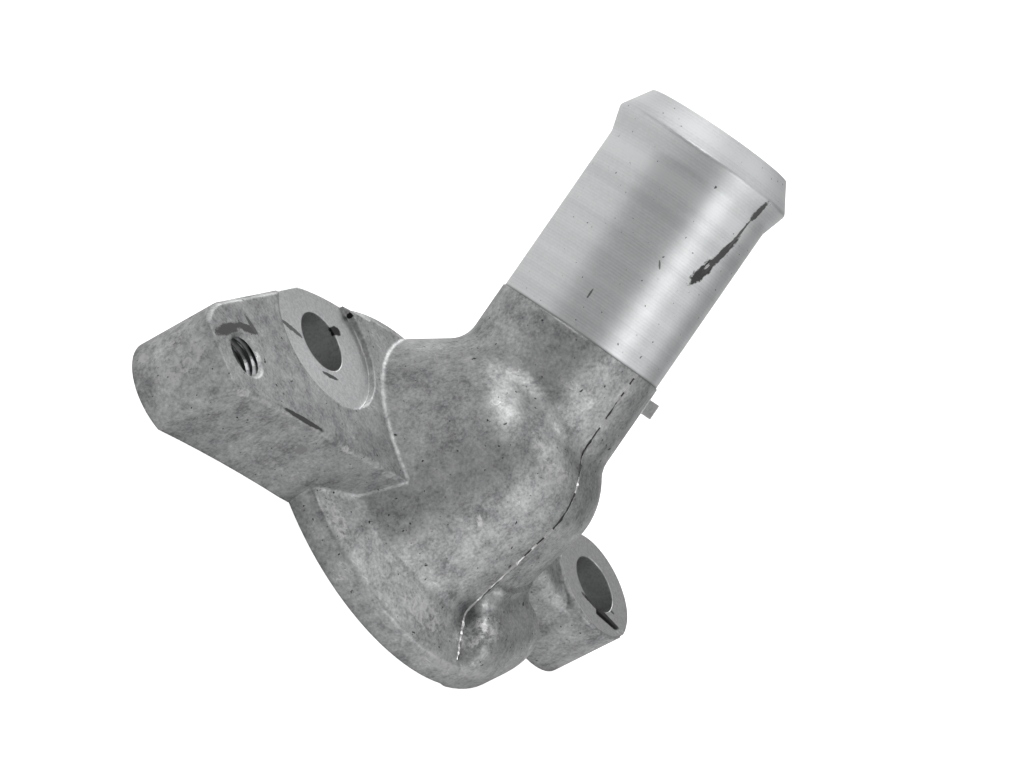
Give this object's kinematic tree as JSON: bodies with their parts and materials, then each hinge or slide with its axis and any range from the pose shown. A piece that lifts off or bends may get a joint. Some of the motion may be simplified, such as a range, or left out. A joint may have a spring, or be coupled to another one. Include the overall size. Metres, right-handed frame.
{
  "type": "thermostat housing",
  "caption": "Cast aluminium thermostat housing: round flange under a leaning dome, slanted hose spigot with a bead, bolt arm with a tapped boss, and a bolt lug.",
  "frame": {"origin": "centre of the thermostat seat, in the plane of the mounting face", "axes": "+Z away from the engine, square to the mounting face; +Y along the line of the two bolt holes, towards the arm with the tapped boss; the hose spigot leans towards +X"},
  "size_m": [0.0828, 0.1128, 0.0782],
  "materials": {
    "cast_aluminium": "as cast, with turned and spot-faced areas"
  },
  "bodies": {
    "root": {"housing": "cast_aluminium"}
  },
  "joints": []
}
